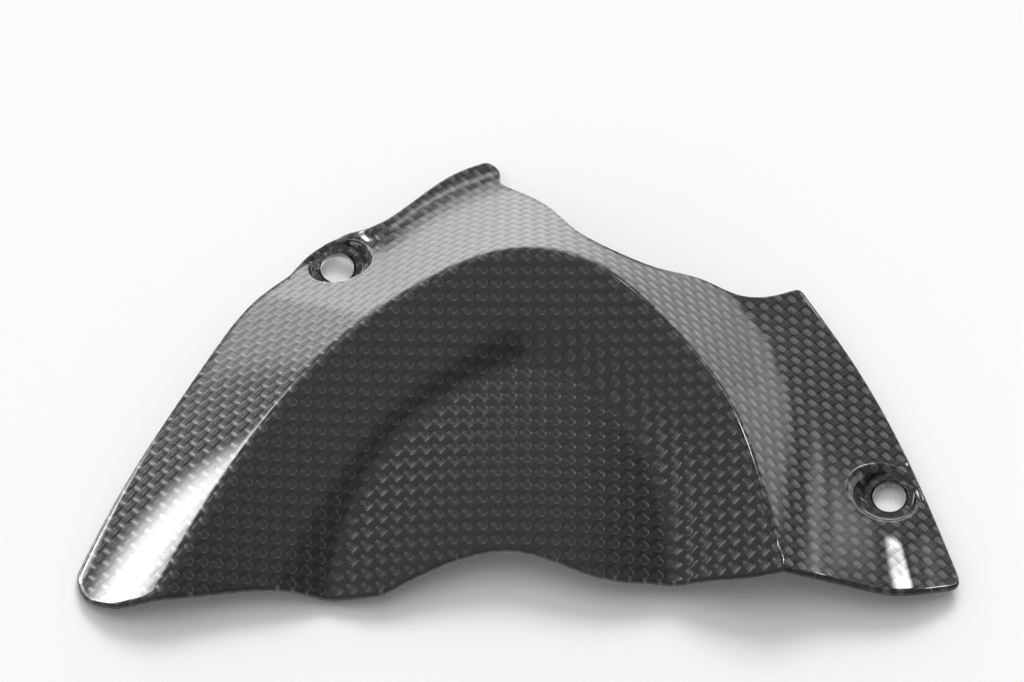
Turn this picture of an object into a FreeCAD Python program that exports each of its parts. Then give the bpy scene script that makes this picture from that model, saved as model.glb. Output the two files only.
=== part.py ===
import FreeCAD, Part
import math
import os
from FreeCAD import Placement, Rotation, Vector

# Sprocket cover: one moulded sheet with a raised arch, a dished face and two bolt seats.
# X runs along the cover, Y away from its open front edge, Z out of the mounting plane.

doc = FreeCAD.newDocument("sprocket_cover")

# Driving dimensions, in millimetres and degrees
driving = [
    ("skin", 1.8),                  # sheet thickness, measured along Z
    ("crest_height", 21.5),         # crest of the arch above the mounting plane, at Y = 0
    ("crest_pitch", 2.3),           # the crest line sinks towards the front
    ("crest_radius", 1.8),          # rounding along the crest
    ("lip_drop", 0.5),              # inner edge of the sloping band below the crest, at Y = 0
    ("lip_pitch", 5.4),
    ("step_run", 8.0),              # soft step from the band down to the panel
    ("step_drop", 4.4),
    ("step_radius", 4.0),
    ("panel_radius", 140.0),        # domed panel inside the band
    ("panel_drop", 3.2),            # its top below the crest
    ("panel_x", -3.0),
    ("panel_y", -34.0),
    ("panel_reach", 6.0),           # the panel runs on under the step
    ("foot_level", -10.0),          # the arch walls run down past every trimmed edge
    ("front_stagger", 2.5),         # the arch closes in steps past the front edge
    ("flange_slope", 19.0),         # flange beside the rear bolt
    ("flange_heading", 41.0),
    ("flange_drop", 15.2),          # below the crest, at the rear bolt
    ("flange_uphill", 32.0),
    ("flange_downhill", 45.0),
    ("flange_back", 56.0),
    ("flange_front", 45.0),
    ("flange_radius", 6.0),
    ("fin_slope", 19.0),            # narrow flange that runs from the front bolt to the fin
    ("fin_heading", 46.0),
    ("fin_drop", 15.5),
    ("fin_uphill", 2.8),
    ("fin_downhill", 34.0),
    ("fin_x", -21.7),
    ("fin_y", 18.7),
    ("fin_left", 10.0),
    ("fin_right", 12.0),
    ("fin_radius", 3.0),
    ("ramp_depth", 30.0),           # the flange blocks reach well into the arch
    ("front_bolt_x", -34.0),
    ("front_bolt_y", 15.2),
    ("rear_bolt_x", 73.0),
    ("rear_bolt_y", -36.2),
    ("front_boss", 0.0),            # engine faces that carry the two seats
    ("rear_boss", 2.2),
    ("bolt_hole", 6.4),             # clearance hole for an M6 bolt
    ("front_seat", 12.6),           # flats under the bolt heads
    ("rear_seat", 11.0),
    ("clear_height", 60.0),         # cutting tools stand well clear of the sheet
]
sizes = doc.addObject("Spreadsheet::Sheet", "sizes")
for row, (alias, value) in enumerate(driving, start=1):
    sizes.set("A%d" % row, alias)
    sizes.set("B%d" % row, str(value))
    sizes.setAlias("B%d" % row, alias)
doc.recompute()


def size(alias):
    return float(sizes.get(alias))


def spline(points, stations=None):
    curve = Part.BSplineCurve()
    if stations is None:
        curve.interpolate(Points=points)
    else:
        curve.interpolate(Points=points, Parameters=stations)
    return curve


def add_sketch(name, curves, placement=Placement()):
    plan = doc.addObject("Sketcher::SketchObject", name)
    plan.Placement = placement
    plan.addGeometry(curves, False)
    return plan


def bind(target, **expressions):
    for name, expression in expressions.items():
        target.setExpression(name.replace("_", "."), expression)


# Crest line of the arch from the front left to the front right: X, Y, slope of the wall
# outside it and width of the band inside it
crest_stations = [
    (-74.2, -78.0, 24.0, 22.0),
    (-56.7, -43.3, 25.0, 20.0),
    (-33.4, -11.0, 35.0, 18.0),
    (-17.9, 1.1, 40.0, 17.0),
    (1.6, 8.8, 42.0, 15.3),
    (17.1, 5.0, 42.0, 14.6),
    (28.7, -5.6, 42.0, 12.4),
    (40.4, -21.3, 42.0, 12.0),
    (48.2, -43.3, 41.0, 12.5),
    (55.9, -78.0, 40.0, 14.0),
]
crest_points = [Vector(x, y, 0) for x, y, slope, band in crest_stations]
stations = [0.0]
for before, after in zip(crest_points, crest_points[1:]):
    stations.append(stations[-1] + before.distanceToPoint(after))
crest_curve = spline(crest_points, stations)


def outward(station):
    along = crest_curve.tangent(station)[0]
    return Vector(-along.y, along.x, 0)


def run_to(front, inner, end):
    """The point where the line from inner through end meets the front line."""
    return inner + (end - inner) * ((front - inner.y) / (end.y - inner.y))


def ring(offsets, front):
    """A closed outline: the crest shifted outwards by the offsets, closed by a front line."""
    points = [point + outward(station) * offset
              for point, station, offset in zip(crest_points, stations, offsets)]
    points[0] = run_to(front, points[1], points[0])
    points[-1] = run_to(front, points[-2], points[-1])
    return [spline(points, stations), Part.LineSegment(points[-1], points[0])]


def pitched(height, pitch):
    return Placement(Vector(0, 0, height), Rotation(Vector(1, 0, 0), pitch))


def crest_level(point):
    return size("crest_height") + point.y * math.tan(math.radians(size("crest_pitch")))


wall_runs = [(crest_level(point) - size("foot_level")) / math.tan(math.radians(slope))
             for point, (x, y, slope, band) in zip(crest_points, crest_stations)]
bands = [band for x, y, slope, band in crest_stations]
front_line = min(point.y for point in crest_points)
lip_height = size("crest_height") - size("lip_drop")

foot = add_sketch("foot", ring(wall_runs, front_line - size("front_stagger")),
                  pitched(size("foot_level"), 0))
crest = add_sketch("crest", ring([0] * len(bands), front_line),
                   pitched(size("crest_height"), size("crest_pitch")))
lip = add_sketch("lip", ring([-band for band in bands], front_line + size("front_stagger")),
                 pitched(lip_height, size("lip_pitch")))
panel_edge = add_sketch("panel_edge",
                        ring([-band - size("step_run") for band in bands],
                             front_line + 2 * size("front_stagger")),
                        pitched(lip_height - size("step_drop"), size("lip_pitch")))

arch = doc.addObject("Part::Loft", "arch")
arch.Sections = [foot, crest, lip, panel_edge]
arch.Solid = True
arch.Ruled = True

# Domed panel that rises inside the band
panel_ball = doc.addObject("Part::Sphere", "panel_ball")
panel_ball.Placement.Rotation = Rotation(Vector(0, 1, 0), 90)
bind(panel_ball, Radius="sizes.panel_radius", Placement_Base_x="sizes.panel_x",
     Placement_Base_y="sizes.panel_y",
     Placement_Base_z="sizes.crest_height - sizes.panel_drop - sizes.panel_radius")
panel_bound = doc.addObject("Part::Extrusion", "panel_bound")
panel_bound.Base = add_sketch("panel_plan",
                              ring([size("panel_reach") - band - size("step_run") for band in bands],
                                   front_line + size("front_stagger")),
                              pitched(size("foot_level"), 0))
panel_bound.DirMode = "Normal"
panel_bound.Solid = True
bind(panel_bound, LengthFwd="sizes.clear_height")
panel = doc.addObject("Part::Common", "panel")
panel.Base = panel_ball
panel.Tool = panel_bound
dished = doc.addObject("Part::Fuse", "dished")
dished.Base = arch
dished.Tool = panel
doc.recompute()


def follows(edge, reference, reach=0.05):
    """True where every sample of the edge lies on the reference shape."""
    return not edge.Degenerated and all(
        reference.distToShape(Part.Vertex(point))[0] < reach for point in edge.discretize(7))


def edges_on(shape, *references):
    return [number for number, edge in enumerate(shape.Edges, start=1)
            if all(follows(edge, reference) for reference in references)]


def round_edges(name, base, *rounds):
    rounded = doc.addObject("Part::Fillet", name)
    rounded.Base = base
    rounded.Edges = [(number, radius, radius) for numbers, radius in rounds for number in numbers]
    doc.recompute()
    return rounded


crest_run = crest.Shape.Edges[0]
lip_run = lip.Shape.Edges[0]
step_face = Part.makeRuledSurface(lip_run, panel_edge.Shape.Edges[0])
ball_face = panel_ball.Shape.Faces[0]
arch_rounded = round_edges(
    "arch_rounded", dished,
    (edges_on(dished.Shape, crest_run), size("crest_radius")),
    (edges_on(dished.Shape, lip_run), size("step_radius")),
    (edges_on(dished.Shape, step_face, ball_face), size("step_radius")))


def ramp(name, origin, heading, slope, uphill, downhill, left, right):
    """A block whose top face is a sloping flange, laid from its origin down its heading."""
    block = doc.addObject("Part::Box", name)
    block.Length = uphill + downhill
    block.Width = left + right
    bind(block, Height="sizes.ramp_depth")
    turn = Rotation(Vector(0, 0, 1), heading) * Rotation(Vector(0, 1, 0), slope)
    corner = Vector(-uphill, -right, -size("ramp_depth"))
    block.Placement = Placement(origin + turn.multVec(corner), turn)
    return block


rear_bolt = Vector(size("rear_bolt_x"), size("rear_bolt_y"), 0)
front_bolt = Vector(size("front_bolt_x"), size("front_bolt_y"), 0)
rear_flange = ramp("rear_flange", rear_bolt + Vector(0, 0, size("crest_height") - size("flange_drop")),
                   size("flange_heading"), size("flange_slope"), size("flange_uphill"),
                   size("flange_downhill"), size("flange_back"), size("flange_front"))
fin_root = Vector(size("fin_x"), size("fin_y"), size("crest_height") - size("fin_drop"))
fin_flange = ramp("fin_flange", fin_root,
                  size("fin_heading"), size("fin_slope"), size("fin_uphill"),
                  size("fin_downhill"), size("fin_left"), size("fin_right"))
flanged = doc.addObject("Part::MultiFuse", "flanged")
flanged.Shapes = [arch_rounded, rear_flange, fin_flange]
doc.recompute()

wall_face = Part.makeRuledSurface(foot.Shape.Edges[0], crest_run)


def top_face(block):
    up = block.Placement.Rotation.multVec(Vector(0, 0, 1))
    return next(face for face in block.Shape.Faces if (face.normalAt(0, 0) - up).Length < 1e-6)


former = round_edges(
    "former", flanged,
    (edges_on(flanged.Shape, wall_face, top_face(rear_flange)), size("flange_radius")),
    (edges_on(flanged.Shape, wall_face, top_face(fin_flange)), size("fin_radius")))

# The sheet is the layer between the former and the same form one skin lower
hollow = doc.addObject("Part::Compound", "hollow")
hollow.Links = [former]
bind(hollow, Placement_Base_z="-sizes.skin")
layer = doc.addObject("Part::Cut", "layer")
layer.Base = former
layer.Tool = hollow
doc.recompute()

# Trimmed edge of the cover in plan, as runs that each go smoothly through their points
ear = [(front_bolt.x - 7.4, front_bolt.y + 1.0), (front_bolt.x - 3.3, front_bolt.y + 4.9),
       (front_bolt.x + 1.6, front_bolt.y + 6.9)]
edge_runs = [
    [(-84.1, -57.3), (-76.9, -41.3), (-66.8, -22.4), (-57.2, -4.8), (-49.2, 7.7), (-43.6, 12.8)],
    [(-43.6, 12.8), *ear, (-28.2, 21.9), (-26.0, 23.0), (-22.7, 26.0), (-17.9, 31.3), (-10.6, 38.4),
     (-5.0, 41.8)],
    [(-5.0, 41.8), (-2.7, 40.4), (-2.3, 36.1)],
    [(-2.3, 36.1), (1.6, 32.9), (5.4, 29.1), (8.3, 25.1), (13.2, 16.9), (21.0, 11.4),
     (28.7, 9.7), (36.5, 10.4), (44.3, 8.4), (48.2, 8.5), (55.0, 11.5)],
    [(55.0, 11.5), (56.2, 11.5), (57.0, 10.3)],
    [(57.0, 10.3), (64.7, -2.3), (74.8, -23.0), (80.2, -37.1), (86.4, -55.6)],
    [(86.4, -55.6), (86.2, -57.4), (84.6, -58.4)],
    [(84.6, -58.4), (75.3, -61.2), (59.8, -59.8), (46.0, -60.3), (32.0, -59.4), (21.0, -59.6)],
    [(21.0, -59.6), (15.1, -58.6), (1.6, -54.6), (-15.9, -58.2), (-25.0, -62.4)],
    [(-25.0, -62.4), (-32.4, -62.6), (-41.2, -62.2), (-52.8, -63.1), (-68.3, -66.0), (-76.1, -66.5)],
    [(-76.1, -66.5), (-82.5, -62.9), (-84.1, -57.3)],
]
edge = add_sketch("edge", [spline([Vector(x, y, 0) for x, y in run]) for run in edge_runs],
                  pitched(size("foot_level"), 0))
blank = doc.addObject("Part::Extrusion", "blank")
blank.Base = edge
blank.DirMode = "Normal"
blank.Solid = True
bind(blank, LengthFwd="sizes.clear_height")


# Each bolt sits in a round pocket whose floor lies on an engine boss, with nothing below it
def stud(name, place, diameter, bottom):
    post = doc.addObject("Part::Cylinder", "%s_%s" % (place, name))
    bind(post, Radius="(%s) / 2" % diameter, Height="sizes.clear_height",
         Placement_Base_z="sizes.%s_boss %s" % (place, bottom),
         Placement_Base_x="sizes.%s_bolt_x" % place, Placement_Base_y="sizes.%s_bolt_y" % place)
    return post


def cup(place):
    cup_diameter = "sizes.%s_seat + 2 * sizes.skin" % place
    wall = doc.addObject("Part::Common", place + "_wall")
    wall.Base = former
    wall.Tool = stud("column", place, cup_diameter, "")
    floor = stud("floor", place, cup_diameter, "")
    floor.setExpression("Height", "sizes.skin")
    return [wall, floor]


def clearance(place):
    seat_diameter = "sizes.%s_seat" % place
    return [stud("pocket", place, seat_diameter, "+ sizes.skin"),
            stud("bore", place, "sizes.bolt_hole", "- sizes.skin"),
            stud("below", place, seat_diameter + " + 2 * sizes.skin", "- sizes.clear_height")]


places = ("front", "rear")
moulding = doc.addObject("Part::MultiFuse", "moulding")
moulding.Shapes = [layer] + [piece for place in places for piece in cup(place)]
trimmed = doc.addObject("Part::Common", "trimmed")
trimmed.Base = moulding
trimmed.Tool = blank
bores = doc.addObject("Part::MultiFuse", "bores")
bores.Shapes = [tool for place in places for tool in clearance(place)]
cover = doc.addObject("Part::Cut", "cover")
cover.Label = "sprocket_cover"
cover.Base = trimmed
cover.Tool = bores
# The finished cover is laid with its front bolt on the origin
bind(cover, Placement_Base_x="-sizes.front_bolt_x", Placement_Base_y="-sizes.front_bolt_y")
doc.recompute()

# Nothing is written unless every feature has built and the cover is one sound solid
for item in doc.Objects:
    if "Invalid" in item.State or "Error" in item.State:
        raise RuntimeError("%s failed to build" % item.Label)
for part in (cover,):
    if part.Shape.isNull() or not part.Shape.isValid():
        raise RuntimeError("%s is not sound" % part.Label)
    if len(part.Shape.Solids) != 1:
        raise RuntimeError("%s is not one piece" % part.Label)

os.makedirs("parts", exist_ok=True)
cover.Shape.exportStep("parts/%s.step" % cover.Label)
print(cover.Label, round(cover.Shape.Volume, 1), cover.Shape.BoundBox)
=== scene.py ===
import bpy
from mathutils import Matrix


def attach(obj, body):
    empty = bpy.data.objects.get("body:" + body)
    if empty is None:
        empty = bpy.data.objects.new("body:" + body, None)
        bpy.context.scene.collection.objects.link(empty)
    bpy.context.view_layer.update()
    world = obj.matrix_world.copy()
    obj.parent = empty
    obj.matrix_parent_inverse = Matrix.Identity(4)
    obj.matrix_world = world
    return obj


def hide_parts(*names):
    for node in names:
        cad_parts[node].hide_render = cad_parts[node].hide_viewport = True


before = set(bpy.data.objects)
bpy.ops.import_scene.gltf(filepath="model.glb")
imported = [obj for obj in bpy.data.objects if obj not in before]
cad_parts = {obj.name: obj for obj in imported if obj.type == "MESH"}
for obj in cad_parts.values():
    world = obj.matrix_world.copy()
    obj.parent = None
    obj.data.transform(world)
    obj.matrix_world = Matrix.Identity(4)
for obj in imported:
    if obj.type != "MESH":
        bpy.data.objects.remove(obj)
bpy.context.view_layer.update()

import math

import bpy
import numpy as np
from mathutils import Vector
from mathutils.geometry import delaunay_2d_cdt

millimetre = 0.001

# The moulded sheet, in millimetres and degrees, drawn in plan from the middle of the arch
cover = {
    "frontBolt": (-34.0, 15.2),     # the frame's origin
    "rearBolt": (73.0, -36.2),
    "skin": 1.8,                    # sheet thickness along Z
    "crestHeight": 21.5,
    "crestPitch": 2.3,
    "crestSoft": 0.9,               # half width of the rounding along the crest
    "lipHeight": 21.0,
    "lipPitch": 5.4,
    "lipSoft": 2.6,
    "stepSlope": 0.55,              # drop per millimetre from the band to the panel
    "panelRadius": 140.0,
    "panelHeight": 18.3,
    "panelCentre": (-3.0, -34.0),
    "panelSoft": 2.6,
    "panelFrom": 2.0,               # the panel counts from this far inside the crest
    "footLevel": -10.0,
    "wingWidth": 20.0,
    "wingBulge": 0.005,             # the left wing is rounded across its width
    "wingShare": 0.8,               # share of the first run of the edge that is the wing's
    "flareWidth": 2.4,              # its outer edge turns up a little
    "flareTurn": 0.13,
    "flangeSlope": 19.0,
    "flangeHeading": 41.0,
    "flangeLevel": 6.3,
    "flangeSoft": (2.4, 8.0),       # half width of the flange's foot at its back and at its front
    "flangeSoftAt": (0.0, -58.0),
    "flangeBack": 56.0,             # the flange fades out this far behind the rear bolt
    "flangeFade": 6.0,
    "flangeEdge": ((57.0, 10.3), (86.4, -55.6)),
    "flangeLift": 0.10,             # half way along, it climbs more steeply from its right edge
    "flangeLiftAt": (6.0, -10.0, -16.0, -60.0),
    "flangeHinge": 5.0,             # rounding of the line where the steeper climb starts
    "flangeRidge": ((76.2, -46.0), (78.7, -59.5)),
    "ridgeHeight": 0.54,            # a low ridge in front of the rear bolt
    "ridgeWidth": 3.0,
    "ridgeRise": (-8.0, 4.0),
    "finSlope": 19.0,
    "finHeading": 46.0,
    "finLevel": 6.0,
    "finRoot": (-21.7, 18.7),
    "finStart": (-9.5, 0.5),        # the fin rises out of the ear between these, down its slope
    "finSoft": 6.0,
    "footSlope": 0.55,              # change of slope where the flange or the fin leaves the wall
    "seats": (                      # flat radius, rise of the bank round it and floor of each pocket
        {"bolt": "frontBolt", "flat": 5.2, "bank": 4.0, "soft": 1.2, "floor": 1.8, "ear": 8.1},
        {"bolt": "rearBolt", "flat": 4.7, "bank": 1.8, "soft": 2.0, "floor": 4.0, "ear": 7.3},
    ),
    "earFade": 2.0,                 # the raised ear round a pocket fades into the sheet
    "earSoft": 0.4,
    "boreRadius": 3.2,
    "boreRound": 0.25,
    "rimRadius": 0.5,               # rounding of the cut edge
    "trimMargin": 0.12,             # the rounded edge stays inside the trimmed outline
    "facePaintedLight": 0.20,              # the face's tows are painted darker than those of the walls round it, painted shade for how light falls on the face
    "paintedLightFade": (-2.5, 1.0),       # where the painted shade of the face gives way across the crest
    "fibreSpan": 400.0,             # length of cloth across the fibres' UV map
}
# Spacing of the mesh, in millimetres
grid = {
    "field": 0.9,
    "rowShare": 0.866,              # spacing of the field's rows, as a share of that in a row
    "crestSamples": 3000,
    "crestStride": 16,              # every so many samples of the crest carry points
    "crestRows": (-2.4, -1.6, -1.0, -0.5, 0.0, 0.5, 1.0, 1.6, 2.4),
    "crestGap": 2.9,                # the field starts this far from the crest
    "runStep": 0.25,
    "edge": 0.55,
    "edgePasses": 3,                # each pass softens the outline's corners a little
    "rimRows": (0.5, 1.0, 1.6, 2.2),
    "rimGap": 2.8,                  # and this far from the edge
    "rimSlack": 0.1,                # rows by the edge come a little closer to the crest and the bolts
    "rings": (3.8, 9.8, 0.3),       # first, last and step of the rings round a bolt
    "ringPoints": 64,
    "ringGap": 0.5,
    "ringToRim": 0.35,
    "crestToRim": 0.5,
    "drapeSteps": 25,
    "batch": 2000,                  # points that are compared at a time
}
# Crest of the arch from the front left to the front right: X, Y, slope of the wall, width of the band
crestStations = np.array([
    (-74.2, -78.0, 24.0, 22.0), (-56.7, -43.3, 25.0, 20.0), (-33.4, -11.0, 35.0, 18.0),
    (-17.9, 1.1, 40.0, 17.0), (1.6, 8.8, 42.0, 15.3), (17.1, 5.0, 42.0, 14.6),
    (28.7, -5.6, 42.0, 12.4), (40.4, -21.3, 42.0, 12.0), (48.2, -43.3, 41.0, 12.5),
    (55.9, -78.0, 40.0, 14.0)])
# Trimmed edge in plan, as runs that each go smoothly through their points
edgeRuns = [
    [(-84.1, -57.3), (-76.9, -41.3), (-66.8, -22.4), (-57.2, -4.8), (-49.2, 7.7), (-43.6, 12.8)],
    [(-43.6, 12.8), (-41.4, 16.2), (-37.3, 20.1), (-32.4, 22.1), (-28.2, 21.9), (-26.0, 23.0),
     (-22.7, 26.0), (-17.9, 31.3), (-10.6, 38.4), (-5.0, 41.8)],
    [(-5.0, 41.8), (-2.7, 40.4), (-2.3, 36.1)],
    [(-2.3, 36.1), (1.6, 32.9), (5.4, 29.1), (8.3, 25.1), (13.2, 16.9), (21.0, 11.4),
     (28.7, 9.7), (36.5, 10.4), (44.3, 8.4), (48.2, 8.5), (55.0, 11.5)],
    [(55.0, 11.5), (56.2, 11.5), (57.0, 10.3)],
    [(57.0, 10.3), (64.7, -2.3), (74.8, -23.0), (80.2, -37.1), (86.4, -55.6)],
    [(86.4, -55.6), (86.2, -57.4), (84.6, -58.4)],
    [(84.6, -58.4), (75.3, -61.2), (59.8, -59.8), (46.0, -60.3), (32.0, -59.4), (21.0, -59.6)],
    [(21.0, -59.6), (15.1, -58.6), (1.6, -54.6), (-15.9, -58.2), (-25.0, -62.4)],
    [(-25.0, -62.4), (-32.4, -62.6), (-41.2, -62.2), (-52.8, -63.1), (-68.3, -66.0), (-76.1, -66.5)],
    [(-76.1, -66.5), (-82.5, -62.9), (-84.1, -57.3)],
]


def tangentOf(degrees):
    return math.tan(math.radians(degrees))


def chordKnots(points):
    return np.concatenate([[0.0], np.cumsum(np.linalg.norm(np.diff(points, axis=0), axis=1))])


def splineThrough(knots, values):
    # a smooth curve through the values, straight at both ends
    values = np.asarray(values, float).reshape(len(knots), -1)
    gaps = np.diff(knots)
    count = len(knots)
    weights = np.eye(count)
    turns = np.zeros_like(values)
    for k in range(1, count - 1):
        weights[k, k - 1:k + 2] = gaps[k - 1], 2 * (gaps[k - 1] + gaps[k]), gaps[k]
        turns[k] = 6 * ((values[k + 1] - values[k]) / gaps[k]
                        - (values[k] - values[k - 1]) / gaps[k - 1])
    bends = np.linalg.solve(weights, turns)

    def at(t):
        k = np.clip(np.searchsorted(knots, t) - 1, 0, count - 2)
        gap = gaps[k][:, None]
        a = ((knots[k + 1] - t) / gaps[k])[:, None]
        b = 1 - a
        return (a * values[k] + b * values[k + 1]
                + ((a ** 3 - a) * bends[k] + (b ** 3 - b) * bends[k + 1]) * gap * gap / 6)
    return at


def softMin(a, b, reach):
    return np.minimum(a, b) - np.maximum(reach - np.abs(a - b), 0) ** 2 / (4 * reach)


def softMax(a, b, reach):
    return -softMin(-a, -b, reach)


def easeStep(low, high, value):
    t = np.clip((value - low) / (high - low), 0, 1)
    return t * t * (3 - 2 * t)


# Dense samples along the crest, with what the sheet does on both sides of it
crestKnots = chordKnots(crestStations[:, :2])
crestAt = np.linspace(0, crestKnots[-1], grid["crestSamples"])
crestPath = splineThrough(crestKnots, crestStations[:, :2])(crestAt)
crestAlong = np.gradient(crestPath, crestAt, axis=0)
crestAlong /= np.linalg.norm(crestAlong, axis=1)[:, None]
crestOut = np.stack([-crestAlong[:, 1], crestAlong[:, 0]], axis=1)
crestLevel = cover["crestHeight"] + crestPath[:, 1] * tangentOf(cover["crestPitch"])
stationLevel = cover["crestHeight"] + crestStations[:, 1] * tangentOf(cover["crestPitch"])
wallRun = (stationLevel - cover["footLevel"]) / np.tan(np.radians(crestStations[:, 2]))
crestFall = (crestLevel - cover["footLevel"]) / splineThrough(crestKnots, wallRun)(crestAt)[:, 0]
crestBand = splineThrough(crestKnots, crestStations[:, 3])(crestAt)[:, 0]
lipLevel = cover["lipHeight"] + ((crestPath - crestOut * crestBand[:, None])[:, 1]
                                 * tangentOf(cover["lipPitch"]))
bandFall = (crestLevel - lipLevel) / crestBand
wingBulge = cover["wingBulge"] * (1 - easeStep(crestKnots[1], crestKnots[2], crestAt))


def inBatches(points):
    for start in range(0, len(points), grid["batch"]):
        yield slice(start, start + grid["batch"])


def nearestCrest(points):
    # index of the nearest sample of the crest, and the distance outwards from it
    found = np.zeros(len(points), int)
    for batch in inBatches(points):
        gaps = ((points[batch][:, None, :] - crestPath[None, :, :]) ** 2).sum(axis=2)
        found[batch] = gaps.argmin(axis=1)
    away = ((points - crestPath[found]) * crestOut[found]).sum(axis=1)
    return found, away


def rampLevel(points, root, heading, slope, level):
    down = np.array([math.cos(math.radians(heading)), math.sin(math.radians(heading))])
    return level - ((points - np.array(root)) @ down) * tangentOf(slope)


def besideLine(points, line):
    # how far along a line the points lie, and how far to its right
    start, end = np.array(line)
    along = (end - start) / np.linalg.norm(end - start)
    return (points - start) @ along, (points - start) @ np.array([along[1], -along[0]])


def archLevel(points, k, away):
    fall = crestFall[k]
    inward = bandFall[k]
    wall = crestLevel[k] - away * fall - wingBulge[k] * away * (away - cover["wingWidth"])
    band = crestLevel[k] + away * inward
    step = lipLevel[k] + (away + crestBand[k]) * cover["stepSlope"]
    level = softMin(wall, band, cover["crestSoft"] * (fall + inward))
    level = softMin(level, step, cover["lipSoft"] * (cover["stepSlope"] - inward))
    spread = ((points - np.array(cover["panelCentre"])) ** 2).sum(axis=1)
    dome = cover["panelHeight"] - cover["panelRadius"] + np.sqrt(cover["panelRadius"] ** 2 - spread)
    dished = softMax(level, dome, cover["panelSoft"] * cover["stepSlope"])
    return np.where(away < -cover["panelFrom"], dished, level)


def flangeLevel(points):
    flange = rampLevel(points, cover["rearBolt"], cover["flangeHeading"], cover["flangeSlope"],
                       cover["flangeLevel"])
    fromEdge = besideLine(points, cover["flangeEdge"])[1]
    fromEdge = (fromEdge + np.sqrt(fromEdge ** 2 + cover["flangeHinge"] ** 2)) / 2
    liftStart, liftFull, liftFades, liftEnd = cover["flangeLiftAt"]
    forward = -points[:, 1]
    lift = easeStep(-liftStart, -liftFull, forward) * (1 - easeStep(-liftFades, -liftEnd, forward))
    flange = flange + cover["flangeLift"] * fromEdge * lift
    ahead, beside = besideLine(points, cover["flangeRidge"])
    beside = beside / cover["ridgeWidth"]
    ridge = cover["ridgeHeight"] * np.exp(-beside ** 2 / 2)
    return flange + ridge * easeStep(*cover["ridgeRise"], ahead)


def sheetLevel(points, k, away):
    # height of the outer face before the pockets are sunk into it
    level = archLevel(points, k, away)
    turn = math.radians(cover["flangeHeading"] + 90)
    sideways = (points - np.array(cover["rearBolt"])) @ np.array([math.cos(turn), math.sin(turn)])
    back, fade = cover["flangeBack"], cover["flangeFade"]
    onFlange = (1 - easeStep(back - fade, back + fade, sideways)) * (away > 0)
    soft = np.interp(-points[:, 1], [-at for at in cover["flangeSoftAt"]], cover["flangeSoft"])
    level = level + (softMax(level, flangeLevel(points), soft * cover["footSlope"]) - level) * onFlange
    fin = rampLevel(points, cover["finRoot"], cover["finHeading"], cover["finSlope"], cover["finLevel"])
    turn = math.radians(cover["finHeading"])
    along = (points - np.array(cover["finRoot"])) @ np.array([math.cos(turn), math.sin(turn)])
    onFin = easeStep(*cover["finStart"], along) * (away > 0)
    return level + (softMax(level, fin, cover["finSoft"] * cover["footSlope"]) - level) * onFin


def flareEdge(points, level):
    # the left wing's edge turns up
    apart = np.full(len(points), np.inf)
    for spot in wingEdge:
        apart = np.minimum(apart, np.linalg.norm(points - spot, axis=1))
    near = np.maximum(cover["flareWidth"] - apart, 0)
    return level + near ** 2 * cover["flareTurn"] / (2 * cover["flareWidth"])


def sinkPockets(points, level):
    for seat in cover["seats"]:
        apart = np.linalg.norm(points - np.array(cover[seat["bolt"]]), axis=1)
        ear = 1 - easeStep(seat["ear"], seat["ear"] + cover["earFade"], apart)
        floor = np.full_like(level, seat["floor"])
        level = level + (softMax(level, floor, cover["earSoft"]) - level) * ear
        bank = seat["floor"] + np.maximum(apart - seat["flat"], 0) * seat["bank"]
        level = softMin(level, bank, seat["soft"])
    return level


def clothPlan(points, k, away):
    # where the cloth lay before it was draped: its length down the walls is kept
    shares = np.linspace(0, 1, grid["drapeSteps"])
    out = np.maximum(away, 0)
    rows = [sheetLevel(crestPath[k] + crestOut[k] * (out * share)[:, None], k, out * share)
            for share in shares]
    climbs = np.diff(np.array(rows), axis=0)
    runs = (out / (len(shares) - 1))[None, :]
    length = np.sqrt(climbs ** 2 + runs ** 2).sum(axis=0)
    draped = crestPath[k] + crestOut[k] * length[:, None]
    return np.where((away > 0)[:, None], draped, points)


# Samples of the left wing's edge
wingKnots = chordKnots(np.array(edgeRuns[0]))
wingEdge = splineThrough(wingKnots, edgeRuns[0])(np.linspace(0, wingKnots[-1] * cover["wingShare"], 500))

# Trimmed outline as one even loop, its corners softened a little
loop = []
for run in edgeRuns:
    run = np.array(run)
    knots = chordKnots(run)
    steps = np.linspace(0, knots[-1], max(3, int(knots[-1] / grid["runStep"])))
    loop.extend(splineThrough(knots, run)(steps)[:-1])
loop = np.array(loop)


def evenLoop(points, spacing):
    closed = np.vstack([points, points[:1]])
    lengths = chordKnots(closed)
    stops = np.linspace(0, lengths[-1], int(lengths[-1] / spacing) + 1)[:-1]
    return np.stack([np.interp(stops, lengths, closed[:, axis]) for axis in (0, 1)], axis=1)


def inwardOf(points):
    along = np.roll(points, -1, axis=0) - np.roll(points, 1, axis=0)
    along /= np.linalg.norm(along, axis=1)[:, None]
    return np.stack([along[:, 1], -along[:, 0]], axis=1)


loop = evenLoop(loop, grid["edge"])
for turn in range(grid["edgePasses"]):
    loop = (np.roll(loop, 1, axis=0) + 2 * loop + np.roll(loop, -1, axis=0)) / 4
loop = loop + inwardOf(loop) * cover["trimMargin"]
inset = loop + inwardOf(loop) * cover["rimRadius"]
print("outline points", len(loop))


def circle(centre, radius, count):
    turns = np.arange(count) * 2 * math.pi / count
    return np.array(centre) + radius * np.stack([np.cos(turns), np.sin(turns)], axis=1)


def insideLoop(points, border):
    inside = np.zeros(len(points), bool)
    ends = np.roll(border, -1, axis=0)
    for (x1, y1), (x2, y2) in zip(border, ends):
        crosses = (y1 > points[:, 1]) != (y2 > points[:, 1])
        if y1 != y2:
            inside ^= crosses & (points[:, 0] < x1 + (points[:, 1] - y1) * (x2 - x1) / (y2 - y1))
    return inside


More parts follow.
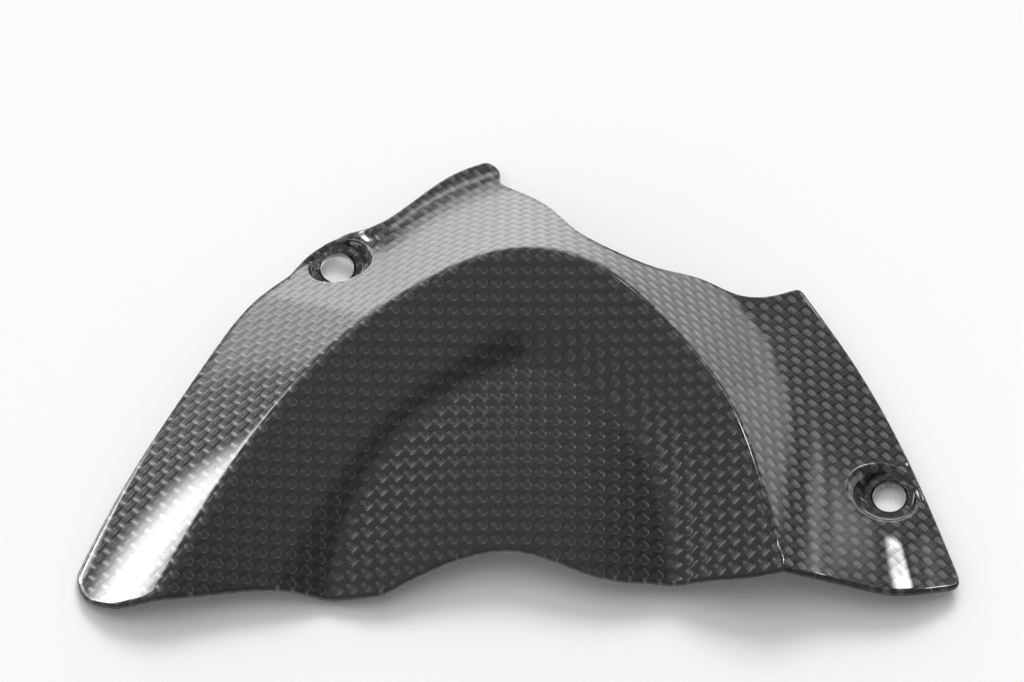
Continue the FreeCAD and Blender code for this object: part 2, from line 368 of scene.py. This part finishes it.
def clearOf(points, others, gap):
    keep = np.zeros(len(points), bool)
    for batch in inBatches(points):
        nearest = ((points[batch][:, None, :] - others[None, :, :]) ** 2).sum(axis=2).min(axis=1)
        keep[batch] = nearest > gap * gap
    return keep


def clearOfBolts(points, reach):
    return np.all([np.linalg.norm(points - np.array(bolt), axis=1) > reach for bolt in bolts], axis=0)


# Mesh points in plan: rings round the bolts, rows along the crest and the edge, an even field elsewhere
bolts = [cover["frontBolt"], cover["rearBolt"]]
boreEdge = cover["boreRadius"] + cover["boreRound"]
boreLoops = [circle(bolt, boreEdge, grid["ringPoints"]) for bolt in bolts]
ringRadii = np.arange(*grid["rings"])
boltGap = ringRadii[-1] + grid["ringGap"]
rings = np.vstack([circle(bolt, radius, grid["ringPoints"]) for bolt in bolts for radius in ringRadii])
rings = rings[insideLoop(rings, inset)]
rings = rings[clearOf(rings, inset, grid["ringToRim"])]

stride = grid["crestStride"]
crestRows = np.vstack([crestPath[::stride] + crestOut[::stride] * shift for shift in grid["crestRows"]])
crestRows = crestRows[insideLoop(crestRows, inset) & clearOfBolts(crestRows, boltGap)]
crestRows = crestRows[clearOf(crestRows, inset, grid["crestToRim"])]

rimRows = []
for depth in grid["rimRows"]:
    row = inset + inwardOf(inset) * depth
    # points that fold over one another at a tight corner are left out
    rimRows.append(row[insideLoop(row, inset) & clearOf(row, inset, depth * 0.95)])
rimRows = np.vstack(rimRows)
rimRows = rimRows[clearOfBolts(rimRows, boltGap - grid["rimSlack"])]
rimRows = rimRows[np.abs(nearestCrest(rimRows)[1]) > grid["crestGap"] - grid["rimSlack"]]

low = loop.min(axis=0)
high = loop.max(axis=0)
spacing = grid["field"]
field = []
for row, y in enumerate(np.arange(low[1], high[1], spacing * grid["rowShare"])):
    for x in np.arange(low[0] + (row % 2) * spacing / 2, high[0], spacing):
        field.append((x, y))
field = np.array(field)
field = field[insideLoop(field, inset)]
field = field[clearOf(field, inset, grid["rimGap"]) & clearOfBolts(field, boltGap)]
field = field[np.abs(nearestCrest(field)[1]) > grid["crestGap"]]

plan = np.vstack([inset] + boreLoops + [rings, crestRows, rimRows, field])
borders = []
start = 0
for border in [inset] + boreLoops:
    count = len(border)
    borders.extend((start + k, start + (k + 1) % count) for k in range(count))
    start += count
flat, _, triangles, sources, _, _ = delaunay_2d_cdt(
    [Vector(p) for p in plan], borders, [], 0, 1e-5, True)
points = np.array([tuple(p) for p in flat])
triangles = np.array([tuple(t) for t in triangles])
home = {source: k for k, group in enumerate(sources) for source in group}
middles = points[triangles].mean(axis=1)
kept = insideLoop(middles, inset) & clearOfBolts(middles, boreEdge - cover["boreRound"] * 0.02)
triangles = triangles[kept]
print("face triangles", len(triangles))

# Heights of the outer face, the inner face one skin below it and the rounded edges between them
k, away = nearestCrest(points)
top = sinkPockets(points, flareEdge(points, sheetLevel(points, k, away)))
cloth = clothPlan(points, k, away)
skin = cover["skin"]
vertices = [np.column_stack([points, top]), np.column_stack([points, top - skin])]
cloths = [cloth, cloth]
outwardOf = [away, away]
edges = [np.zeros(len(points)), np.zeros(len(points))]
insides = [np.zeros(len(points)), np.ones(len(points))]
faces = [triangles, triangles[:, ::-1] + len(points)]
quads = []


def joinRows(before, after, outFirst):
    for a, b, c, d in zip(before, np.roll(before, -1), np.roll(after, -1), after):
        quads.append((a, b, c, d) if outFirst else (d, c, b, a))


def closeEdge(first, shape, inwards, outFirst):
    # rows of a cut edge from the outer face round to the inner face: shift outwards, share of the skin
    ids = np.array([home[first + n] for n in range(len(inwards))])
    before = ids
    for shift, drop in shape:
        after = np.arange(len(ids)) + sum(len(part) for part in vertices)
        vertices.append(np.column_stack([points[ids] - inwards * shift, top[ids] - skin * drop]))
        cloths.append(cloth[ids])
        outwardOf.append(away[ids])
        edges.append(np.full(len(ids), math.sin(math.pi * drop)))
        insides.append(np.full(len(ids), drop))
        joinRows(before, after, outFirst)
        before = after
    joinRows(before, ids + len(points), outFirst)


rimTurns = np.radians([20, 40, 60, 80, 90])
rimShape = [(cover["rimRadius"] * math.sin(turn), cover["rimRadius"] / skin * (1 - math.cos(turn)))
            for turn in rimTurns]
rimShape += [(shift, 1 - drop) for shift, drop in rimShape[::-1]]
closeEdge(0, rimShape, inwardOf(inset), True)
boreShape = [(0.18, 0.03), (cover["boreRound"], 0.12), (cover["boreRound"], 0.5),
             (cover["boreRound"], 0.88), (0.18, 0.97)]
first = len(inset)
for bolt, border in zip(bolts, boreLoops):
    outwards = (border - np.array(bolt)) / boreEdge
    closeEdge(first, boreShape, outwards, False)
    first += len(border)

vertices = np.vstack(vertices)
vertices[:, :2] -= np.array(cover["frontBolt"])
mesh = bpy.data.meshes.new("coverSheet")
mesh.from_pydata((vertices * millimetre).tolist(), [], np.vstack(faces).tolist() + quads)
mesh.update()
mesh.polygons.foreach_set("use_smooth", np.ones(len(mesh.polygons), bool))


def addAttribute(name, kind, part, values):
    layer = mesh.attributes.new(name, kind, "POINT")
    layer.data.foreach_set(part, np.asarray(values, np.float32).ravel())


cloths = np.vstack(cloths)
addAttribute("clothPlan", "FLOAT_VECTOR", "vector", np.column_stack([cloths, np.zeros(len(cloths))]))
addAttribute("cutEdge", "FLOAT", "value", np.concatenate(edges))
# painted shade: the tows of the face get a darker colour than those of the walls round it
onWall = easeStep(*cover["paintedLightFade"], np.concatenate(outwardOf))
addAttribute("towPaintedLight", "FLOAT", "value", cover["facePaintedLight"] + (1 - cover["facePaintedLight"]) * onWall)
addAttribute("innerFace", "FLOAT", "value", np.concatenate(insides))
fibreMap = mesh.uv_layers.new(name="fibres")
corners = np.zeros(len(mesh.loops), np.int32)
mesh.loops.foreach_get("vertex_index", corners)
# the UV map's axes run along the two sets of tows
turned = np.column_stack([cloths[:, 0] + cloths[:, 1], cloths[:, 1] - cloths[:, 0]]) / cover["fibreSpan"]
fibreMap.data.foreach_set("uv", turned[corners].astype(np.float32).ravel())
sheet = bpy.data.objects.new("coverSheet", mesh)
bpy.context.scene.collection.objects.link(sheet)
print("cover sheet", len(mesh.vertices), "points", len(mesh.polygons), "faces")

# Woven cloth under clear resin
weave = {
    "towPitch": 2.0,                # millimetres
    "towRise": 0.20,                # millimetres, half the height of a tow over its crossing
    "towRound": 0.8,                # roundness of a tow across its width
    "towSpan": 1.96,                # just under 2, so a tow nearly fills its pitch
    "crossSoft": 0.06,
    "ovalFade": (0.24, 0.60),       # tows darken from their middle towards their edges
    "ovalShare": 0.78,
    "paintedCrescent": 1.0,
    "paintedCrescentRise": (0.29, 0.39),   # the painted crescent highlight lies between these, in pitches from a tow's middle
    "paintedCrescentFall": (0.43, 0.52),
    "paintedCrescentSide": (-0.32, -0.12),
    "weftPaintedLight": 0.2,               # the tows across are painted darker than those along, painted shade for how the light falls along their fibres
    "filamentScale": 9.0,
    "filamentDetail": 3.0,
    "filamentTint": (0.55, 0.9),    # least tint and what the filaments add
    "dark": (0.024, 0.024, 0.025, 1),
    "light": (0.130, 0.125, 0.119, 1),
    "roughness": 0.36,
    "anisotropy": 0.85,
    "coatRelief": 0.01,             # the clear coat follows the weave a little
    "coatRoughness": 0.03,
    "coatIndex": 1.5,
    "bareCoat": 0.8,                # coat that the inner face and the cut edge lack
    "bareRoughness": 0.2,
}


def mathNode(tree, operation, *values):
    node = tree.nodes.new("ShaderNodeMath")
    node.operation = operation
    for socket, value in zip(node.inputs, values):
        if isinstance(value, (int, float)):
            socket.default_value = value
        else:
            tree.links.new(value, socket)
    return node.outputs[0]


def fadeNode(tree, socket, low, high, first, last):
    ramp = tree.nodes.new("ShaderNodeMapRange")
    ramp.interpolation_type = "SMOOTHSTEP"
    for label, value in (("From Min", low), ("From Max", high), ("To Min", first), ("To Max", last)):
        ramp.inputs[label].default_value = value
    tree.links.new(socket, ramp.inputs["Value"])
    return ramp.outputs[0]


def newMaterial(name):
    material = bpy.data.materials.new(name)
    material.use_nodes = True
    tree = material.node_tree
    return material, tree, tree.nodes["Principled BSDF"]


def attributeNode(tree, name):
    node = tree.nodes.new("ShaderNodeAttribute")
    node.attribute_name = name
    return node


def makeCarbon():
    material, tree, surface = newMaterial("coatedCarbon")

    def node(operation, *values):
        return mathNode(tree, operation, *values)

    def bumpOf(height, strength):
        bump = tree.nodes.new("ShaderNodeBump")
        bump.inputs["Strength"].default_value = strength
        bump.inputs["Distance"].default_value = weave["towRise"] * millimetre
        tree.links.new(height, bump.inputs["Height"])
        return bump.outputs[0]

    # tows cross at right angles, each going over one and under the next
    plan = tree.nodes.new("ShaderNodeSeparateXYZ")
    tree.links.new(attributeNode(tree, "clothPlan").outputs["Vector"], plan.inputs[0])
    diagonal = weave["towPitch"] * math.sqrt(2)
    warpAt = node("DIVIDE", node("ADD", plan.outputs[0], plan.outputs[1]), diagonal)
    weftAt = node("DIVIDE", node("SUBTRACT", plan.outputs[1], plan.outputs[0]), diagonal)
    inWarp = node("SUBTRACT", node("FRACT", warpAt), 0.5)
    inWeft = node("SUBTRACT", node("FRACT", weftAt), 0.5)
    parity = node("FLOORED_MODULO", node("ADD", node("FLOOR", warpAt), node("FLOOR", weftAt)), 2.0)
    over = node("SUBTRACT", 1.0, node("MULTIPLY", parity, 2.0))
    warpArch = node("COSINE", node("MULTIPLY", inWarp, math.pi))
    weftArch = node("COSINE", node("MULTIPLY", inWeft, math.pi))

    def tow(arch, across, side):
        wide = node("MULTIPLY", across, weave["towSpan"])
        bow = node("SQRT", node("SUBTRACT", 1.0, node("MULTIPLY", wide, wide)))
        return node("ADD", node("MULTIPLY", arch, side), node("MULTIPLY", bow, weave["towRound"]))

    warp = tow(warpArch, inWeft, over)
    weft = tow(weftArch, inWarp, node("MULTIPLY", over, -1.0))
    height = node("SMOOTH_MAX", warp, weft, weave["crossSoft"])
    lengthwise = node("GREATER_THAN", warp, weft)
    # fine filaments run along whichever tow is on top
    across = node("ADD", node("MULTIPLY", lengthwise, weftAt),
                  node("MULTIPLY", node("SUBTRACT", 1.0, lengthwise), warpAt))
    filament = tree.nodes.new("ShaderNodeTexNoise")
    filament.noise_dimensions = "1D"
    filament.inputs["Scale"].default_value = weave["filamentScale"]
    filament.inputs["Detail"].default_value = weave["filamentDetail"]
    tree.links.new(across, filament.inputs["W"])

    # each tow is pale in its middle; the tows that run across and the tows of the face are painted
    # darker, painted shade for how the light falls on them
    spread = node("SQRT", node("ADD", node("MULTIPLY", inWarp, inWarp),
                               node("MULTIPLY", inWeft, inWeft)))
    oval = fadeNode(tree, spread, *weave["ovalFade"], weave["ovalShare"], 0.0)
    leastTint, addedTint = weave["filamentTint"]
    tint = node("ADD", leastTint, node("MULTIPLY", filament.outputs["Fac"], addedTint))
    familyPaintedLight = node("ADD", weave["weftPaintedLight"], node("MULTIPLY", lengthwise, 1.0 - weave["weftPaintedLight"]))
    paintedLight = attributeNode(tree, "towPaintedLight").outputs["Fac"]
    lit = node("MULTIPLY", node("MULTIPLY", oval, paintedLight), node("MULTIPLY", tint, familyPaintedLight))
    # a painted highlight: a thin crescent of light painted along the lower right end of each bright tow
    ring = node("MULTIPLY", fadeNode(tree, spread, *weave["paintedCrescentRise"], 0.0, 1.0),
                fadeNode(tree, spread, *weave["paintedCrescentFall"], 1.0, 0.0))
    lowerRight = fadeNode(tree, inWeft, *weave["paintedCrescentSide"], 1.0, 0.0)
    paintedCrescent = node("MULTIPLY", node("MULTIPLY", ring, lowerRight),
                    node("MULTIPLY", node("ADD", over, 1.0), weave["paintedCrescent"] / 2))
    shade = tree.nodes.new("ShaderNodeMix")
    shade.data_type = "RGBA"
    shade.inputs[6].default_value = weave["dark"]       # a Mix node's two colours
    shade.inputs[7].default_value = weave["light"]
    tree.links.new(node("MAXIMUM", lit, paintedCrescent), shade.inputs[0])
    tree.links.new(shade.outputs[2], surface.inputs["Base Color"])
    tree.links.new(bumpOf(height, 1.0), surface.inputs["Normal"])
    tree.links.new(bumpOf(height, weave["coatRelief"]), surface.inputs["Coat Normal"])
    # filaments scatter light across their run, so the two sets of tows shine in different places
    fibres = tree.nodes.new("ShaderNodeTangent")
    fibres.direction_type = "UV_MAP"
    fibres.uv_map = "fibres"
    tree.links.new(fibres.outputs[0], surface.inputs["Tangent"])
    quarterTurn = node("MULTIPLY", lengthwise, 0.25)
    tree.links.new(quarterTurn, surface.inputs["Anisotropic Rotation"])
    surface.inputs["Anisotropic"].default_value = weave["anisotropy"]
    # the inner face and the cut edge have little clear coat
    cut = attributeNode(tree, "cutEdge").outputs["Fac"]
    tree.links.new(node("SUBTRACT", 1.0, cut), surface.inputs["Metallic"])
    bare = node("MAXIMUM", attributeNode(tree, "innerFace").outputs["Fac"], cut)
    coat = node("SUBTRACT", 1.0, node("MULTIPLY", bare, weave["bareCoat"]))
    tree.links.new(coat, surface.inputs["Coat Weight"])
    roughness = node("ADD", weave["roughness"], node("MULTIPLY", bare, weave["bareRoughness"]))
    tree.links.new(roughness, surface.inputs["Roughness"])
    surface.inputs["Coat Roughness"].default_value = weave["coatRoughness"]
    surface.inputs["Coat IOR"].default_value = weave["coatIndex"]
    return material


mesh.materials.append(makeCarbon())
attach(sheet, "root")
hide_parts("sprocket_cover")
print("carbon weave on")

# The cover lies on a pale table, on its rear seat and the tips of its left wing and its fin
studio = {
    "tableUp": (0.0356, 0.1254, 0.9915),
    "tableAt": (105.3, -58.5, 2.2),      # millimetres, a point of the seat that touches the table
    "tableGap": 0.05,                    # millimetres
    "tableReach": 3.0,                   # metres, half its side
    "tableColour": (0.95, 0.95, 0.95, 1),
    "tableRoughness": 0.7,
    "tableSpecular": 0.2,
    "tableGlow": (0.2, 2.4),             # in front of the cover, dimmed there as a painted shadow of the cover, and behind it
    "tableGlowAt": (-0.04, 0.03),
    "tableSide": (1.2, 0.52),            # on its left and on its right
    "tableSideAt": (-0.22, 0.05),
    "wallGlow": 1.3,                     # a white wall behind the cover
    "wallTop": (0.06, 0.18),             # it fades out between these heights of view
    "wallFront": (-0.2, 0.3),            # and on the camera's side
    "ceiling": (0.60, 0.30),             # on the left and on the right
    "ceilingAt": (0.15, 0.42),
    "aim": (34.0, -15.2, 0.0),           # millimetres
    "distance": 5000.0,
    "elevation": 62.0,
    "lens": 905.0,
}
up = Vector(studio["tableUp"]).normalized()
tableMesh = bpy.data.meshes.new("table")
reach = studio["tableReach"]
tableCorners = [(-reach, -reach, 0), (reach, -reach, 0), (reach, reach, 0), (-reach, reach, 0)]
tableMesh.from_pydata(tableCorners, [], [(0, 1, 2, 3)])
table = bpy.data.objects.new("table", tableMesh)
bpy.context.scene.collection.objects.link(table)
table.rotation_euler = Vector((0, 0, 1)).rotation_difference(up).to_euler()
table.location = (Vector(studio["tableAt"]) - up * studio["tableGap"]) * millimetre
tableMaterial, tableTree, tableSurface = newMaterial("tableWhite")
tableSurface.inputs["Base Color"].default_value = studio["tableColour"]
tableSurface.inputs["Roughness"].default_value = studio["tableRoughness"]
tableSurface.inputs["Specular IOR Level"].default_value = studio["tableSpecular"]
# seen in the gloss of the cover, the table glows as bright as an overexposed white sheet, a painted
# reflection
seen = tableTree.nodes.new("ShaderNodeLightPath")
paintedGlow = tableTree.nodes.new("ShaderNodeEmission")
onTable = tableTree.nodes.new("ShaderNodeSeparateXYZ")
tableTree.links.new(tableTree.nodes.new("ShaderNodeTexCoord").outputs["Object"], onTable.inputs[0])
backGlow = fadeNode(tableTree, onTable.outputs[1], *studio["tableGlowAt"], *studio["tableGlow"])
sideGlow = fadeNode(tableTree, onTable.outputs[0], *studio["tableSideAt"], *studio["tableSide"])
tableTree.links.new(mathNode(tableTree, "MULTIPLY", backGlow, sideGlow), paintedGlow.inputs["Strength"])
choice = tableTree.nodes.new("ShaderNodeMixShader")
tableTree.links.new(seen.outputs["Is Glossy Ray"], choice.inputs[0])
tableTree.links.new(tableSurface.outputs[0], choice.inputs[1])
tableTree.links.new(paintedGlow.outputs[0], choice.inputs[2])
tableTree.links.new(choice.outputs[0], tableTree.nodes["Material Output"].inputs["Surface"])
tableMesh.materials.append(tableMaterial)

aim = Vector(studio["aim"]) * millimetre

# Sizes in metres, azimuth 0 stands behind the cover and 90 on its right
# The cards show in the cover's gloss, the last two light the table and give the shadow
lamps = {
    "leftCard": {"azimuth": -47.5, "elevation": 31, "width": 0.86, "height": 0.38, "radiance": 29},
    "rightCard": {"azimuth": 23, "elevation": 37.2, "width": 0.16, "height": 0.16, "radiance": 26},
    "fillCard": {"azimuth": 43, "elevation": 24, "width": 0.50, "height": 0.40, "radiance": 2.2},
    "frontCard": {"azimuth": 36, "elevation": 35, "width": 0.34, "height": 0.40, "radiance": 2.8},
    "finCard": {"azimuth": 9, "elevation": 19, "width": 0.46, "height": 0.30, "radiance": 3.4},
    "crestCard": {"azimuth": 47, "elevation": 32, "width": 0.18, "height": 0.30, "radiance": 24,
                  "softness": 0.45},
    "key": {"azimuth": 12, "elevation": 45, "width": 4.0, "height": 4.0, "radiance": 6.65,
            "distance": 6.0, "softness": 0.3, "inGloss": False},
    "topLight": {"azimuth": 0, "elevation": 88, "width": 6.4, "height": 6.4, "radiance": 1.0,
                 "distance": 6.0, "softness": 0.3, "inGloss": False},
}


def softbox(name, azimuth, elevation, width, height, radiance, distance=1.4, softness=0.5, inGloss=True):
    # the face of the box fades towards its edges
    lamp = bpy.data.lights.new(name, "AREA")
    lamp.shape = "RECTANGLE"
    lamp.size = width
    lamp.size_y = height
    lamp.energy = radiance * math.pi * width * height
    lamp.use_nodes = True
    tree = lamp.node_tree
    across = tree.nodes.new("ShaderNodeSeparateXYZ")
    tree.links.new(tree.nodes.new("ShaderNodeNewGeometry").outputs["Parametric"], across.inputs[0])
    fades = []
    for axis in (0, 1):
        inward = mathNode(tree, "SUBTRACT", 0.5, mathNode(
            tree, "ABSOLUTE", mathNode(tree, "SUBTRACT", across.outputs[axis], 0.5)))
        fades.append(fadeNode(tree, inward, 0.0, softness, 0.0, 1.0))
    tree.links.new(mathNode(tree, "MULTIPLY", *fades), tree.nodes["Emission"].inputs["Strength"])
    lampObject = bpy.data.objects.new(name, lamp)
    bpy.context.scene.collection.objects.link(lampObject)
    flat = math.cos(math.radians(elevation)) * distance
    turn = math.radians(azimuth)
    lampObject.location = aim + Vector((math.sin(turn) * flat, math.cos(turn) * flat,
                                        math.sin(math.radians(elevation)) * distance))
    lampObject.rotation_euler = (aim - lampObject.location).to_track_quat("-Z", "Y").to_euler()
    lampObject.visible_glossy = inGloss
    lampObject.visible_diffuse = not inGloss


for name, lamp in lamps.items():
    softbox(name, **lamp)
print("lamps", len(lamps))

world = bpy.data.worlds.new("studio")
bpy.context.scene.world = world
world.use_nodes = True
worldTree = world.node_tree
skyward = worldTree.nodes.new("ShaderNodeSeparateXYZ")
worldTree.links.new(worldTree.nodes.new("ShaderNodeTexCoord").outputs["Generated"], skyward.inputs[0])
wallHeight = fadeNode(worldTree, skyward.outputs[2], *studio["wallTop"], studio["wallGlow"], 0.0)
wallBehind = fadeNode(worldTree, skyward.outputs[1], *studio["wallFront"], 0.0, 1.0)
ceiling = fadeNode(worldTree, skyward.outputs[0], *studio["ceilingAt"], *studio["ceiling"])
backdrop = worldTree.nodes["Background"]
backdrop.inputs["Color"].default_value = (1, 1, 1, 1)
wall = mathNode(worldTree, "MULTIPLY", wallHeight, wallBehind)
worldTree.links.new(mathNode(worldTree, "ADD", wall, ceiling), backdrop.inputs["Strength"])

camera = bpy.data.cameras.new("camera")
camera.lens = studio["lens"]
camera.sensor_width = 36.0
camera.clip_start = 0.05
cameraObject = bpy.data.objects.new("camera", camera)
bpy.context.scene.collection.objects.link(cameraObject)
tilt = math.radians(studio["elevation"])
towardCamera = Vector((0, -math.cos(tilt), math.sin(tilt)))
cameraObject.location = aim + towardCamera * studio["distance"] * millimetre
cameraObject.rotation_euler = (math.pi / 2 - tilt, 0, 0)
bpy.context.scene.camera = cameraObject
bpy.context.scene.view_settings.view_transform = "Standard"
print("studio set")
